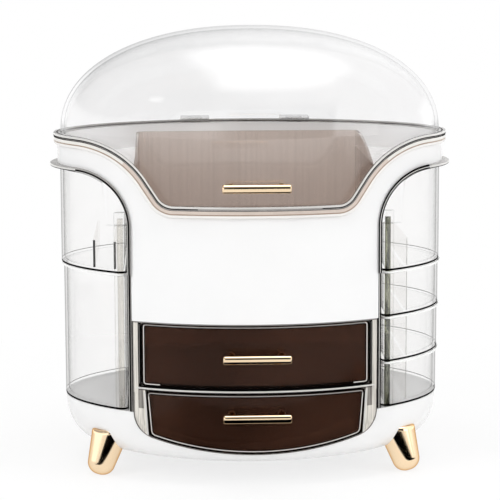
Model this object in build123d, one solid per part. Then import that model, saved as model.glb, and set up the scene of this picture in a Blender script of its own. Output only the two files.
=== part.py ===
from build123d import *
import os
from functools import lru_cache
from math import cos, hypot, pi, radians, sin, sqrt

os.makedirs("parts", exist_ok=True)

# Driving dimensions of a domed vanity organizer, in millimetres.
# The origin is on the table under the middle of the body, +X right, -Y front, +Z up.

# White upper shell, an upright wall on an elliptical plan
shell_half_width = 152.4
shell_half_depth = 110.0
shell_wall = 2.4
core_half_width = 93.9
panel_base_z = 126.5

# The rim's line seen from the front: low in the middle, then an S up to the sides
rim_low_z = 212.8
rim_dip_radius = 15.7
rim_slope = 56.0
rim_centre_x = 136.2
rim_centre_z = 197.7
rim_radius = 63.0
trim_height = 6.0
trim_reach = 2.6

# Side liners, vaulted over the top trays with a rim that flares out at the ends
liner_wall = 2.8
liner_flare = 6.0
liner_proud = 0.6

# Lid
lid_wall = 2.6
lid_rise = 83.0
lid_spring_z = 263.0
lid_power = 2.2
lid_flange = 2.4
lid_flange_reach = 0.4

# Rounded base pan and the deck in its mouth
pan_half_width = 148.3
pan_half_depth = 107.2
pan_wall = 2.4
pan_spring_z = 60.0
pan_top_z = 55.0
pan_base_z = 18.0
pan_tuck_x = 37.0
pan_tuck_y = 14.0
pan_power = 2.58
deck_plate = 2.4

# Drawer bay and its two openings
bay_proud = 0.8
bay_side_gap = 0.5
bay_wall = 2.0
bay_fascia = 3.0
bay_bottom_z = 24.8
bay_bottom_radius = 292.0
bay_corner_radius = 20.0
bay_back_y = 74.0
bay_top_gap = 0.3
upper_half_width = 86.0
upper_low_z = 77.2
upper_top_z = 124.6
lower_half_width = 82.9
lower_foot_half_width = 79.0
lower_top_z = 72.0

# Drawers
drawer_wall = 2.0
drawer_front = 2.5
drawer_gap = 0.4
drawer_back_gap = 2.0
upper_box_top_z = 116.0
lower_box_top_z = 66.0

# Side trays on upright pins
tray_half_width = 148.4
tray_widen = 0.6
tray_corner_x = 101.0
tray_corner_y = 79.7
tray_wall = 2.0
tray_floor = 2.4
tray_radius = 5.0
tray_pitch = 35.3
tray_gap = 0.4
tray_side_gap = 0.6
tray_lip = 1.8
tray_lip_height = 1.6
tray_pin_radius = 2.2
pin_seat = 8.0
tray_relief = 13.0
divider_wall = 1.6
divider_x = 118.0
divider_inner_x = 106.5
divider_outer_x = 122.5
low_divider = 21.0
tall_divider = 30.0

# Well between the side shelves, and the smoke insert that stands in it
shelf_plate = 2.2
well_wall = 2.5
well_floor_z = 129.0
insert_gap = 1.0
insert_wall = 2.0
insert_rear_y = 55.0
insert_top_z = 258.0
insert_bend_y = 20.0
insert_front_y = -84.0
insert_front_z = 243.0
insert_corner_radius = 8.0
insert_drop = 1.5

# Handles
handle_width = 51.2
handle_height = 6.6
handle_thickness = 5.0
handle_stand = 9.0
handle_chamfer = 1.6
handle_leg_radius = 2.7
handle_leg_x = 19.0
lid_handle_z = 230.1
upper_handle_z = 101.8
lower_handle_z = 56.8

# Feet
foot_x = 121.9
foot_y = 57.7
foot_radius = 9.5
foot_top_radius = 17.5
foot_length = 56.0
foot_splay = 19.1
foot_splay_turn = 30.5
foot_round = 7.9
foot_sole_cut = 0.8
foot_top_drop = 5.0

# Rear hinges of the lid
hinge_x = 42.0
hinge_half_width = 12.0
hinge_knuckle = 6.0
hinge_radius = 3.8
hinge_pin_radius = 1.5
hinge_pin_end = 0.5
hinge_leaf = 2.2
hinge_drop = 13.0

# Fasteners and running clearances
screw_radius = 1.5
screw_head_radius = 3.0
screw_head = 1.8
screw_bite = 5.0
foot_screw_radius = 2.0
foot_screw_back = 8.5
foot_screw_head_radius = 4.0
foot_boss_radius = 6.5
foot_boss_top_z = 41.0
foot_screw_tip_z = 12.0
pin_clearance = 0.05
screw_clearance = 0.05
seam_gap = 0.3
side_gap = 0.3

# Sizes that follow from the ones above
reach = 260.0
ceiling = 420.0
rim_top_z = rim_centre_z + rim_radius
arch_radius = rim_centre_x - core_half_width
shelf_low_z = rim_centre_z + arch_radius
shelf_top_z = shelf_low_z + shelf_plate
tray_chord_x = core_half_width + liner_wall + tray_side_gap
tray_top_radius = arch_radius - liner_wall - tray_side_gap
tray_base_z = pan_top_z + tray_gap
tray_top_base_z = tray_base_z + 3 * tray_pitch
lid_half_width = shell_half_width - shell_wall - side_gap
lid_half_depth = shell_half_depth - shell_wall - side_gap
# the hinges reach as far back as the handles reach forward
hinge_y = shell_half_depth + handle_stand + handle_thickness - hinge_radius
hinge_z = rim_top_z + seam_gap + lid_flange + hinge_leaf - hinge_radius


def column(half_width, half_depth, low, high):
    # an upright elliptical prism
    return Pos(0, 0, low) * extrude(Ellipse(half_width, half_depth), amount=high - low)


def block(x_low, x_high, y_low, y_high, z_low, z_high):
    size = Box(x_high - x_low, y_high - y_low, z_high - z_low)
    return Pos((x_low + x_high) / 2, (y_low + y_high) / 2, (z_low + z_high) / 2) * size


def rod(radius, start, end):
    # a round bar between two points
    start, end = Vector(*start), Vector(*end)
    turn = Plane(origin=start, z_dir=end - start)
    return extrude(turn * Circle(radius), amount=(end - start).length)


def across(face, front, back):
    # a face drawn in X and Z, carried along Y from front to back
    return Pos(0, back, 0) * extrude(Plane.XZ * face, amount=back - front)


def both_sides(solid):
    return solid + mirror(solid, about=Plane.YZ)


def rim_face(drop):
    # the region above the rim's line, with the line moved down square to itself by drop
    slope = radians(rim_slope)
    dip_z = rim_low_z + rim_dip_radius
    run = (rim_dip_radius + rim_radius - cos(slope) * (dip_z - rim_centre_z)) / sin(slope)
    dip_x = rim_centre_x - run
    dip = rim_dip_radius + drop
    top = rim_radius - drop
    edges = []
    for side in (1, -1):
        def at(x, z, side=side):
            return (side * x, z)

        def on_dip(angle):
            return at(dip_x + dip * sin(angle), dip_z - dip * cos(angle))

        def on_top(angle):
            return at(rim_centre_x - top * sin(angle), rim_centre_z + top * cos(angle))

        edges += [
            Line(at(0, rim_low_z - drop), on_dip(0)),
            ThreePointArc(on_dip(0), on_dip(slope / 2), on_dip(slope)),
            Line(on_dip(slope), on_top(slope)),
            ThreePointArc(on_top(slope), on_top(slope / 2), on_top(0)),
            Line(on_top(0), at(reach, rim_centre_z + top)),
            Line(at(reach, rim_centre_z + top), at(reach, ceiling)),
            Line(at(reach, ceiling), at(0, ceiling)),
        ]
    return make_face(edges)


@lru_cache(maxsize=None)
def above_rim(drop):
    # everything above the rim's line; behind the middle the rim is level
    front = across(rim_face(drop), -reach, 0)
    return front + block(-reach, reach, 0, reach, rim_top_z - drop, ceiling)


@lru_cache(maxsize=None)
def under_arch(inset, low):
    # the region under the arch over the right trays, carried from front to back
    radius = arch_radius - inset
    bend = radius / sqrt(2)
    inner = rim_centre_x - radius
    crown = rim_centre_z + radius
    middle = (rim_centre_x - bend, rim_centre_z + bend)
    edges = [
        Line((inner, low), (inner, rim_centre_z)),
        ThreePointArc((inner, rim_centre_z), middle, (rim_centre_x, crown)),
        Line((rim_centre_x, crown), (reach, crown)),
        Line((reach, crown), (reach, low)),
        Line((reach, low), (inner, low)),
    ]
    return across(make_face(edges), -reach, reach)


def pan_section(angle, grow):
    # the pan's half width, half depth and height at an angle round its rounded lower edge
    tuck = 1 - cos(angle) ** (2 / pan_power)
    drop = sin(angle) ** (2 / pan_power)
    height = pan_spring_z - (pan_spring_z - pan_base_z + grow) * drop
    return pan_half_width + grow - pan_tuck_x * tuck, pan_half_depth + grow - pan_tuck_y * tuck, height


@lru_cache(maxsize=None)
def tub(grow, top):
    # the body's outer form below the panel: upright, then tucked in under the pan
    rings = []
    for step in (0, 10, 22, 35, 48, 61, 74, 84, 90):
        half_width, half_depth, height = pan_section(radians(step), grow)
        rings.append(Pos(0, 0, height) * Ellipse(half_width, half_depth))
    lower = loft(rings)
    return lower + column(pan_half_width + grow, pan_half_depth + grow, pan_spring_z, top)


def tray_half_depth(half_width):
    # every tier passes through one point at the hinged corner
    return tray_corner_y / sqrt(1 - (tray_corner_x / half_width) ** 2)


def pin_place():
    # the centre of the corner's rounding, which is also the hinge axis of the trays
    half_width = tray_half_width + 1.5 * tray_widen
    half_depth = tray_half_depth(half_width)
    want = tray_chord_x + tray_radius
    low, high = 0.0, pi / 2
    for _ in range(60):
        middle = (low + high) / 2
        normal_x = cos(middle) / half_width
        normal_y = sin(middle) / half_depth
        length = hypot(normal_x, normal_y)
        centre_x = half_width * cos(middle) - tray_radius * normal_x / length
        centre_y = half_depth * sin(middle) - tray_radius * normal_y / length
        if centre_x > want:
            low = middle
        else:
            high = middle
    return want, -centre_y


pin_x, pin_y = pin_place()


def make_upper_shell():
    # panel, side bands and rear wall in one moulding, open below the arches
    wall = column(shell_half_width, shell_half_depth, panel_base_z, rim_top_z)
    wall -= column(shell_half_width - shell_wall, shell_half_depth - shell_wall, panel_base_z, rim_top_z)
    wall -= above_rim(0)
    return wall - both_sides(under_arch(0, 0))


@lru_cache(maxsize=None)
def make_rim_trim():
    # the raised band under the lid's flange, following the rim's line
    low = rim_low_z - 2 * trim_height
    band = column(shell_half_width + trim_reach, shell_half_depth + trim_reach, low, rim_top_z)
    band -= column(shell_half_width, shell_half_depth, low, rim_top_z)
    return (band & above_rim(trim_height)) - above_rim(0)


def make_liner():
    # the right liner: an upright wall beside the core that turns into a roof over the trays
    outer = column(shell_half_width + liner_flare, shell_half_depth + liner_proud, pan_top_z, shelf_low_z)
    vault = (under_arch(0, 0) - under_arch(liner_wall, 0)) & outer
    inside = column(tray_half_width, tray_half_depth(tray_half_width), pan_top_z, shelf_low_z)
    low_part = block(0, tray_corner_x, -reach, reach, 0, rim_centre_z) & vault & inside
    high_part = vault - block(0, reach, -reach, reach, 0, rim_centre_z)
    strip = vault - block(0, reach, -reach, reach, 0, tray_top_base_z)
    # the fixed web closes the wall round the pin, above the top tray's corner
    top_width = tray_half_width + 3 * tray_widen
    top_depth = tray_half_depth(top_width)
    wall = column(top_width, top_depth, rim_centre_z + tray_gap, shelf_low_z)
    wall -= column(top_width - tray_wall, top_depth - tray_wall, rim_centre_z, shelf_low_z)
    wall += Pos(pin_x, pin_y, rim_centre_z + tray_gap) * extrude(Circle(tray_radius), amount=tray_radius * 2)
    near_pin = Pos(pin_x, pin_y, 0) * extrude(Circle(tray_relief - tray_gap), amount=ceiling)
    web = wall & near_pin & under_arch(liner_wall / 2, 0) & column(top_width, top_depth, 0, ceiling)
    web = web & block(core_half_width, reach, -reach, 0, 0, ceiling)
    liner = low_part + high_part + strip + web
    return liner - rod(tray_pin_radius, (pin_x, pin_y, 0), (pin_x, pin_y, rim_centre_z + tray_radius))


def make_shelf_well():
    # the side shelves and the deep well between them
    fit_width = shell_half_width - shell_wall
    fit_depth = shell_half_depth - shell_wall
    inside = column(fit_width, fit_depth, well_floor_z, shelf_top_z)
    inner_x = core_half_width - well_wall
    floor_top_z = well_floor_z + shelf_plate
    shelf = inside & block(inner_x, reach, -reach, reach, shelf_low_z, shelf_top_z)
    side = inside & block(inner_x, core_half_width, -reach, reach, well_floor_z, shelf_top_z)
    floor = inside & block(-core_half_width, core_half_width, -reach, reach, well_floor_z, floor_top_z)
    well = both_sides(shelf + side) + floor
    lid_width = lid_half_width - lid_wall - insert_gap
    lid_depth = lid_half_depth - lid_wall - insert_gap
    return well - (above_rim(insert_drop) - column(lid_width, lid_depth, 0, ceiling))


def make_well_insert():
    # an open box with a low front and side walls that fall towards it
    half_width = core_half_width - well_wall - insert_gap
    low = well_floor_z + shelf_plate
    fit_width = lid_half_width - lid_wall - insert_gap
    fit_depth = lid_half_depth - lid_wall - insert_gap
    outer = column(fit_width, fit_depth, low, insert_top_z)
    outer = outer & block(-half_width, half_width, -reach, insert_rear_y, low, insert_top_z)
    rear = outer.edges().filter_by(Axis.Z).group_by(Axis.Y)[-1]
    outer = fillet(rear, insert_corner_radius)
    inner_width = half_width - insert_wall
    inner = column(fit_width - insert_wall, fit_depth - insert_wall, low + insert_wall, ceiling)
    inner = inner & block(-inner_width, inner_width, -reach, insert_rear_y - insert_wall, low, ceiling)
    rear = inner.edges().filter_by(Axis.Z).group_by(Axis.Y)[-1]
    inner = fillet(rear, insert_corner_radius - insert_wall)
    middle_y = (insert_bend_y + insert_front_y) / 2
    middle_z = (insert_top_z + insert_front_z) / 2 + 2.5
    profile = [
        Line((insert_rear_y, low), (insert_rear_y, insert_top_z)),
        Line((insert_rear_y, insert_top_z), (insert_bend_y, insert_top_z)),
        ThreePointArc((insert_bend_y, insert_top_z), (middle_y, middle_z), (insert_front_y, insert_front_z)),
        Line((insert_front_y, insert_front_z), (-reach, insert_front_z)),
        Line((-reach, insert_front_z), (-reach, low)),
        Line((-reach, low), (insert_rear_y, low)),
    ]
    side_view = extrude(Plane.YZ * make_face(profile), amount=reach, both=True)
    front_cut = across(rim_face(insert_drop), -reach, insert_front_y + 6)
    return ((outer - inner) & side_view) - front_cut


def dome_curve(inset):
    # the lid's outline above its upright wall, a superellipse fuller than an ellipse
    half_width = lid_half_width - inset
    rise = lid_rise - inset
    points = []
    for step in range(9):
        angle = radians(10 * step)
        along = half_width * cos(angle) ** (2 / lid_power)
        points.append((along, lid_spring_z + rise * sin(angle) ** (2 / lid_power)))
    points.append((0, lid_spring_z + rise))
    return Spline(points, tangents=[(0, 1), (-1, 0)])


def make_lid():
    # a wall turned from its outline and squeezed to the oval plan, with a flange along the rim
    low = rim_low_z - 2 * trim_height
    outer = lid_half_width
    inner = outer - lid_wall
    outline = [
        Line((inner, low), (outer, low)),
        Line((outer, low), (outer, lid_spring_z)),
        dome_curve(0),
        Line((0, lid_spring_z + lid_rise), (0, lid_spring_z + lid_rise - lid_wall)),
        dome_curve(lid_wall),
        Line((inner, lid_spring_z), (inner, low)),
    ]
    turned = revolve(Plane.XZ * make_face(outline), axis=Axis.Z)
    squeeze = lid_half_depth / outer
    dome = scale(turned, by=(1, squeeze, 1))
    rim = trim_reach + lid_flange_reach
    top = rim_top_z + 2 * lid_flange
    plate = column(shell_half_width + rim, shell_half_depth + rim, low, top)
    plate -= column(outer - lid_wall / 2, squeeze * (outer - lid_wall / 2), low, top)
    plate -= above_rim(-seam_gap - lid_flange)
    lid = (dome + plate) & above_rim(-seam_gap)
    for x in (-handle_leg_x, handle_leg_x):
        lid -= rod(screw_radius + screw_clearance, (x, 0, lid_handle_z), (x, -reach, lid_handle_z))
    return lid


def lid_wall_form():
    # the lid's upright wall where its handle sits, as an outer and an inner column
    inner = lid_half_width - lid_wall
    outer_form = column(lid_half_width, lid_half_depth, rim_low_z, lid_spring_z)
    inner_form = column(inner, lid_half_depth * inner / lid_half_width, rim_low_z, lid_spring_z)
    return outer_form, inner_form


def make_handle(z, skin):
    # a bar on two round legs that end on the skin they are screwed to
    bar_y = -shell_half_depth - handle_stand - handle_thickness / 2
    bar = Pos(0, bar_y, z) * Box(handle_width, handle_thickness, handle_height)
    bar = chamfer(bar.edges().filter_by(Axis.X), handle_chamfer)
    for x in (-handle_leg_x, handle_leg_x):
        leg = rod(handle_leg_radius, (x, bar_y, z), (x, -shell_half_depth / 2, z)) - skin
        bar += leg.solids().sort_by(Axis.Y)[0]
        bar -= rod(screw_radius + screw_clearance, (x, 0, z), (x, bar_y + handle_thickness / 2 + 1, z))
    return bar


def make_handle_screws(z, skin):
    # one screw for each leg, with its head inside the wall
    screws = []
    for x in (-handle_leg_x, handle_leg_x):
        seat = rod(screw_head_radius, (x, -shell_half_depth / 2, z), (x, -reach, z)) & skin
        back = seat.bounding_box().max.Y
        tip = -shell_half_depth - screw_bite
        shank = rod(screw_radius, (x, back, z), (x, tip, z))
        head = rod(screw_head_radius, (x, back, z), (x, back + screw_head, z))
        screws.append(shank + head)
    return screws


def make_base_pan():
    # a thin wall, open at the front for the drawer bay, with a boss for each foot's screw
    pan = tub(0, pan_spring_z + 1) & block(-reach, reach, -reach, reach, 0, pan_top_z)
    pan -= tub(-pan_wall, pan_spring_z + 1)
    pan -= across(bay_outline(), -reach, -pan_half_depth / 2)
    for x, y, _, _ in foot_places():
        boss = rod(foot_boss_radius, (x, y, pan_base_z), (x, y, foot_boss_top_z))
        pan += boss & tub(-pan_wall / 2, pan_spring_z + 1)
        pan -= rod(foot_screw_radius + screw_clearance, (x, y, 0), (x, y, ceiling))
    for x in (-pin_x, pin_x):
        pan -= rod(tray_pin_radius, (x, pin_y, pan_top_z - pin_seat), (x, pin_y, ceiling))
    return pan


def foot_places():
    # where each foot's screw goes, with the signs of its corner
    away = radians(foot_splay_turn)
    places = []
    for side_x in (-1, 1):
        for side_y in (-1, 1):
            x = side_x * (foot_x - foot_screw_back * cos(away))
            y = side_y * (foot_y - foot_screw_back * sin(away))
            places.append((x, y, side_x, side_y))
    return places


def make_foot(side_x, side_y, pan_form):
    # a tapered round foot that leans outwards, with a rounded end cut flat where it stands
    lean = radians(foot_splay)
    away = radians(foot_splay_turn)
    axis = Vector(-sin(lean) * cos(away), -sin(lean) * sin(away), cos(lean))
    dip = foot_round * (1 - cos(lean)) + (foot_radius - foot_round) * sin(lean)
    plane = Plane(origin=(foot_x, foot_y, dip - foot_sole_cut), z_dir=axis)
    top_plane = plane.offset(foot_length)
    cone = loft([plane * Circle(foot_radius), top_plane * Circle(foot_top_radius)])
    foot = fillet(cone.edges().sort_by(Axis.Z)[0], foot_round)
    foot = foot & block(-reach, reach, -reach, reach, 0, pan_top_z - foot_top_drop)
    foot -= pan_form
    x, y, _, _ = foot_places()[-1]
    foot -= rod(foot_screw_radius + screw_clearance, (x, y, foot_screw_tip_z - 1), (x, y, ceiling))
    if side_x < 0:
        foot = mirror(foot, about=Plane.YZ)
    if side_y < 0:
        foot = mirror(foot, about=Plane.XZ)
    foot = foot.solids().sort_by(SortBy.VOLUME)[-1]
    return foot


def make_foot_screws():
    screws = []
    for x, y, _, _ in foot_places():
        shank = rod(foot_screw_radius, (x, y, foot_boss_top_z), (x, y, foot_screw_tip_z))
        head = rod(foot_screw_head_radius, (x, y, foot_boss_top_z), (x, y, foot_boss_top_z + 2.4))
        screws.append(shank + head)
    return screws


def make_base_deck():
    # the plate the trays turn over, open in the middle for the drawer bay
    low = pan_top_z - deck_plate
    fit_width = pan_half_width - pan_wall
    fit_depth = pan_half_depth - pan_wall
    plate = column(fit_width, fit_depth, low, pan_top_z) & tub(-pan_wall, pan_spring_z + 1)
    open_x = core_half_width - 2 * bay_wall
    plate -= block(-open_x, open_x, -reach, bay_back_y + bay_wall, 0, ceiling)
    for x in (-pin_x, pin_x):
        boss = rod(tray_radius, (x, pin_y, pan_top_z - pin_seat), (x, pin_y, low))
        plate += boss & tub(-pan_wall, pan_spring_z + 1)
        plate -= rod(tray_pin_radius, (x, pin_y, pan_top_z - pin_seat), (x, pin_y, ceiling))
    return plate


def bay_outline():
    # the bay's outline seen from the front: square above, rounded and bowed below
    half_width = core_half_width - bay_side_gap
    top = panel_base_z - bay_top_gap
    centre_z = bay_bottom_z + bay_bottom_radius
    tall = Pos(0, (top + bay_bottom_z - 20) / 2) * Rectangle(2 * half_width, top - bay_bottom_z + 20)
    outline = tall & (Pos(0, centre_z) * Circle(bay_bottom_radius))
    corners = outline.vertices().group_by(Axis.Y)[0]
    return fillet(corners, bay_corner_radius)


def upper_opening(inset):
    low = upper_low_z + inset
    top = upper_top_z - inset
    outline = Pos(0, (low + top) / 2) * Rectangle(2 * (upper_half_width - inset), top - low)
    return fillet(outline.vertices(), 2.5 - inset / 3)


def lower_opening(inset):
    # narrower towards the foot, with a bottom that follows the bay's bow
    centre_z = bay_bottom_z + bay_bottom_radius
    top = lower_top_z - inset
    upper = lower_half_width - inset
    foot = lower_foot_half_width - inset
    sides = Polygon((upper, top), (-upper, top), (-foot, 10), (foot, 10), align=None)
    outline = sides & (Pos(0, centre_z) * Circle(bay_bottom_radius - bay_wall - inset))
    outline = fillet(outline.vertices().group_by(Axis.Y)[0], 5 - inset / 2)
    return fillet(outline.vertices().group_by(Axis.Y)[-1], 2.5 - inset / 3)


def make_drawer_bay():
    # a bowed fascia with a tube behind each opening
    skin = tub(bay_proud, panel_base_z - bay_top_gap)
    behind = tub(bay_proud - bay_fascia, panel_base_z)
    fascia = (skin - behind) & across(bay_outline(), -reach, -pan_half_depth / 2)
    bay = fascia
    for opening in (upper_opening, lower_opening):
        tube = across(opening(-bay_wall), -reach, bay_back_y) & skin
        bay = bay + tube
    for opening in (upper_opening, lower_opening):
        bay = bay - across(opening(0), -reach, bay_back_y - bay_wall)
    return bay & block(-reach, reach, -reach, reach, 0, panel_base_z - bay_top_gap)


def drawer_front_form(inset):
    # the upright part of the fronts' outer face, where the handles sit
    grow = bay_proud - inset
    return column(pan_half_width + grow, pan_half_depth + grow, pan_base_z, panel_base_z)


def make_drawer(opening, box_top_z, handle_z):
    # a box without a top, behind a front that follows the bay's bowed face
    skin = tub(bay_proud, panel_base_z)
    behind = tub(bay_proud - drawer_front, panel_base_z)
    back = bay_back_y - bay_wall - drawer_back_gap
    drawer = across(opening(drawer_gap), -reach, back) & skin
    hollow = across(opening(drawer_gap + drawer_wall), -reach, back - drawer_wall) & behind
    cut = behind & block(-reach, reach, -reach, reach, box_top_z, ceiling)
    drawer = drawer - hollow - cut
    hole = screw_radius + screw_clearance
    for x in (-handle_leg_x, handle_leg_x):
        drawer -= rod(hole, (x, -pan_half_depth / 2, handle_z), (x, -reach, handle_z))
    return drawer


def tray_plan(half_width, inset, low, high):
    # the D-shaped plan of a tray, rounded at both corners
    half_depth = tray_half_depth(half_width)
    inner = tray_chord_x + inset
    side = Pos((inner + reach) / 2, 0) * Rectangle(reach - inner, 2 * reach)
    plan = Ellipse(half_width - inset, half_depth - inset) & side
    corners = plan.vertices().group_by(Axis.X)[0]
    plan = fillet(corners, tray_radius - inset)
    return Pos(0, 0, low) * extrude(plan, amount=high - low)


def make_tray(tier, low, high, arched):
    # an open cup with a post round its pin; the top one follows the arch above it
    half_width = tray_half_width + tier * tray_widen
    outer = tray_plan(half_width, 0, low, high)
    hollow = tray_plan(half_width, tray_wall, low + tray_floor, high + 1)
    if not arched:
        wide = half_width + tray_lip
        lip = column(wide, tray_half_depth(wide), high - tray_lip_height, high)
        outer += lip & block(tray_corner_x + 6, reach, -reach, reach, low, high)
    tray = outer - hollow
    column_top = high
    if arched:
        column_top = rim_centre_z
    tray += rod(tray_radius, (pin_x, pin_y, low), (pin_x, pin_y, column_top))
    if arched:
        tray = tray & under_arch(liner_wall + tray_side_gap, 0)
        relief = rod(tray_relief, (pin_x, pin_y, rim_centre_z), (pin_x, pin_y, ceiling))
        tray -= relief
    return tray - rod(tray_pin_radius + pin_clearance, (pin_x, pin_y, 0), (pin_x, pin_y, ceiling))


def make_divider(tier, low, high, x):
    # an upright plate across the tray, cut round the tray's post
    half_width = tray_half_width + tier * tray_widen
    half_depth = tray_half_depth(half_width)
    plate = block(x - divider_wall / 2, x + divider_wall / 2, -reach, reach, low + tray_floor, high)
    inside = column(half_width - tray_wall, half_depth - tray_wall, low, high)
    plate = plate & inside
    return plate - rod(tray_radius + 0.2, (pin_x, pin_y, 0), (pin_x, pin_y, ceiling))


def make_tray_pin(side):
    x = side * pin_x
    return rod(tray_pin_radius, (x, pin_y, pan_top_z - pin_seat), (x, pin_y, rim_centre_z + tray_radius))


def make_back_panel():
    # the rear wall behind the drawer bay, between the two tray stacks
    low = pan_top_z
    width = pan_half_width + bay_proud
    depth = pan_half_depth + bay_proud
    wall = column(width, depth, low, panel_base_z)
    wall -= column(width - shell_wall, depth - shell_wall, low, panel_base_z)
    return wall & block(-core_half_width, core_half_width, 0, reach, low, panel_base_z)


def make_hinge_bracket(x):
    # a block on the shell's rear wall that holds the middle knuckle
    top = rim_top_z - seam_gap
    low = top - hinge_drop
    inside_y = shell_half_depth / 2
    x_low, x_high = x - hinge_knuckle, x + hinge_knuckle
    wide = hinge_half_width
    body = block(x_low, x_high, inside_y, hinge_y, low, top)
    body += block(x - wide, x + wide, inside_y, hinge_y - 3, low, top - trim_height - 1)
    body -= column(shell_half_width, shell_half_depth, 0, ceiling)
    body -= make_rim_trim()
    body += rod(hinge_radius, (x_low, hinge_y, hinge_z), (x_high, hinge_y, hinge_z))
    body += block(x_low, x_high, hinge_y - hinge_radius, hinge_y + hinge_radius, low, hinge_z)
    return body - rod(hinge_pin_radius, (x - reach, hinge_y, hinge_z), (x + reach, hinge_y, hinge_z))


def make_hinge_leaf(x):
    # the lid's leaf: a plate on the flange with a knuckle at each side of the bracket's
    low = rim_top_z + seam_gap + lid_flange
    half = hinge_half_width
    flange_y = shell_half_depth + trim_reach + lid_flange_reach
    leaf = block(x - half, x + half, flange_y - 16, flange_y, low, low + hinge_leaf)
    for side in (-1, 1):
        inner = x + side * (hinge_knuckle + seam_gap)
        outer = x + side * half
        x_low, x_high = min(inner, outer), max(inner, outer)
        leaf += block(x_low, x_high, flange_y - 1, hinge_y, low, low + hinge_leaf)
        leaf += rod(hinge_radius, (x_low, hinge_y, hinge_z), (x_high, hinge_y, hinge_z))
    leaf -= column(lid_half_width, lid_half_depth, 0, ceiling)
    bore = hinge_pin_radius + pin_clearance
    return leaf - rod(bore, (x - reach, hinge_y, hinge_z), (x + reach, hinge_y, hinge_z))


def make_hinge_pin(x):
    half = hinge_half_width + hinge_pin_end
    return rod(hinge_pin_radius, (x - half, hinge_y, hinge_z), (x + half, hinge_y, hinge_z))


def write(name, shape):
    if isinstance(shape, list):
        shape = Compound(children=shape)
    export_step(shape, f"parts/{name}.step")
    print(name, len(shape.solids()), round(sum(s.volume for s in shape.solids()) / 1000, 2), "cm3")


def main():
    write("upper_shell", make_upper_shell())
    write("rim_trim", make_rim_trim())
    write("back_panel", make_back_panel())
    write("shelf_well", make_shelf_well())
    write("well_insert", make_well_insert())
    liner = make_liner()
    write("right_liner", liner)
    write("left_liner", mirror(liner, about=Plane.YZ))
    write("base_pan", make_base_pan())
    write("base_deck", make_base_deck())
    pan_form = tub(0, pan_spring_z + 1)
    for side_x, side_word in ((-1, "left"), (1, "right")):
        for side_y, end_word in ((-1, "front"), (1, "rear")):
            write(f"{end_word}_{side_word}_foot", make_foot(side_x, side_y, pan_form))
    write("foot_screws", make_foot_screws())
    write("drawer_bay", make_drawer_bay())
    write("lid_dome", make_lid())
    outer_form, inner_form = lid_wall_form()
    write("lid_handle", make_handle(lid_handle_z, outer_form))
    write("lid_handle_screws", make_handle_screws(lid_handle_z, outer_form - inner_form))
    skin = drawer_front_form(0)
    front = skin - drawer_front_form(drawer_front)
    drawers = (
        ("upper", upper_opening, upper_box_top_z, upper_handle_z),
        ("lower", lower_opening, lower_box_top_z, lower_handle_z),
    )
    for word, opening, box_top_z, handle_z in drawers:
        write(f"{word}_drawer", make_drawer(opening, box_top_z, handle_z))
        write(f"{word}_drawer_handle", make_handle(handle_z, skin))
        write(f"{word}_drawer_handle_screws", make_handle_screws(handle_z, front))
    arch_top_z = rim_centre_z + tray_top_radius
    for tier in range(4):
        low = tray_base_z + tier * tray_pitch
        arched = tier == 3
        high = arch_top_z if arched else low + tray_pitch - tray_gap
        name = f"right_tray_{4 - tier}"
        write(name, make_tray(tier, low, high, arched))
        divider_top = low + tray_floor + (low_divider if arched else tall_divider)
        write(f"{name}_divider", make_divider(tier, low, divider_top, divider_x))
    tall_top = tray_top_base_z - tray_gap
    lower_tray = make_tray(0, tray_base_z, tall_top, False)
    write("left_lower_tray", mirror(lower_tray, about=Plane.YZ))
    divider = make_divider(0, tray_base_z, tray_base_z + tray_floor + low_divider, divider_inner_x)
    write("left_lower_tray_divider", mirror(divider, about=Plane.YZ))
    upper_tray = make_tray(3, tray_top_base_z, arch_top_z, True)
    write("left_upper_tray", mirror(upper_tray, about=Plane.YZ))
    dividers = []
    for x in (divider_inner_x, divider_outer_x):
        plate = make_divider(3, tray_top_base_z, tray_top_base_z + tray_floor + low_divider, x)
        dividers += mirror(plate, about=Plane.YZ).solids()
    write("left_upper_tray_dividers", dividers)
    write("right_tray_pin", make_tray_pin(1))
    write("left_tray_pin", make_tray_pin(-1))
    for side, word in ((-1, "left"), (1, "right")):
        write(f"{word}_hinge_bracket", make_hinge_bracket(side * hinge_x))
        write(f"{word}_hinge_leaf", make_hinge_leaf(side * hinge_x))
        write(f"{word}_hinge_pin", make_hinge_pin(side * hinge_x))


main()
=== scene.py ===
import bmesh
import bpy
import math
import numpy as np
from mathutils import Euler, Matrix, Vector


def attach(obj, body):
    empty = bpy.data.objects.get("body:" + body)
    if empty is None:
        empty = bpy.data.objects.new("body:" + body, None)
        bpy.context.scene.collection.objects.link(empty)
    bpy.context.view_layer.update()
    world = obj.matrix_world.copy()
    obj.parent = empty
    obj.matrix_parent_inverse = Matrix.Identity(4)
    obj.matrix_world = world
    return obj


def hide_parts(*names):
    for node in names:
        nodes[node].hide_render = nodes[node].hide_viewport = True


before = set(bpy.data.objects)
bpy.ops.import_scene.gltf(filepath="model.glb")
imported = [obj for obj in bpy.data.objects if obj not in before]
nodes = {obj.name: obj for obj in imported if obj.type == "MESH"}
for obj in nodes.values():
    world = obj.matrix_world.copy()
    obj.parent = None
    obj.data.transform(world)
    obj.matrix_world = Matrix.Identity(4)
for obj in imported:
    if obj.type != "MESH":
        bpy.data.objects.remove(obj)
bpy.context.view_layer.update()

scene = bpy.context.scene

# camera, fitted to the object's outlines
cameraSet = {
    "place": (-0.06835, -1.64858, 0.40804),
    "lookAt": (-0.000285, 0.0, 0.1672),
    "lens": 150.26,
    "sensor": 36.0,
    "roll": -0.227,
}


def addObject(name, data):
    item = bpy.data.objects.new(name, data)
    scene.collection.objects.link(item)
    return item


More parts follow.
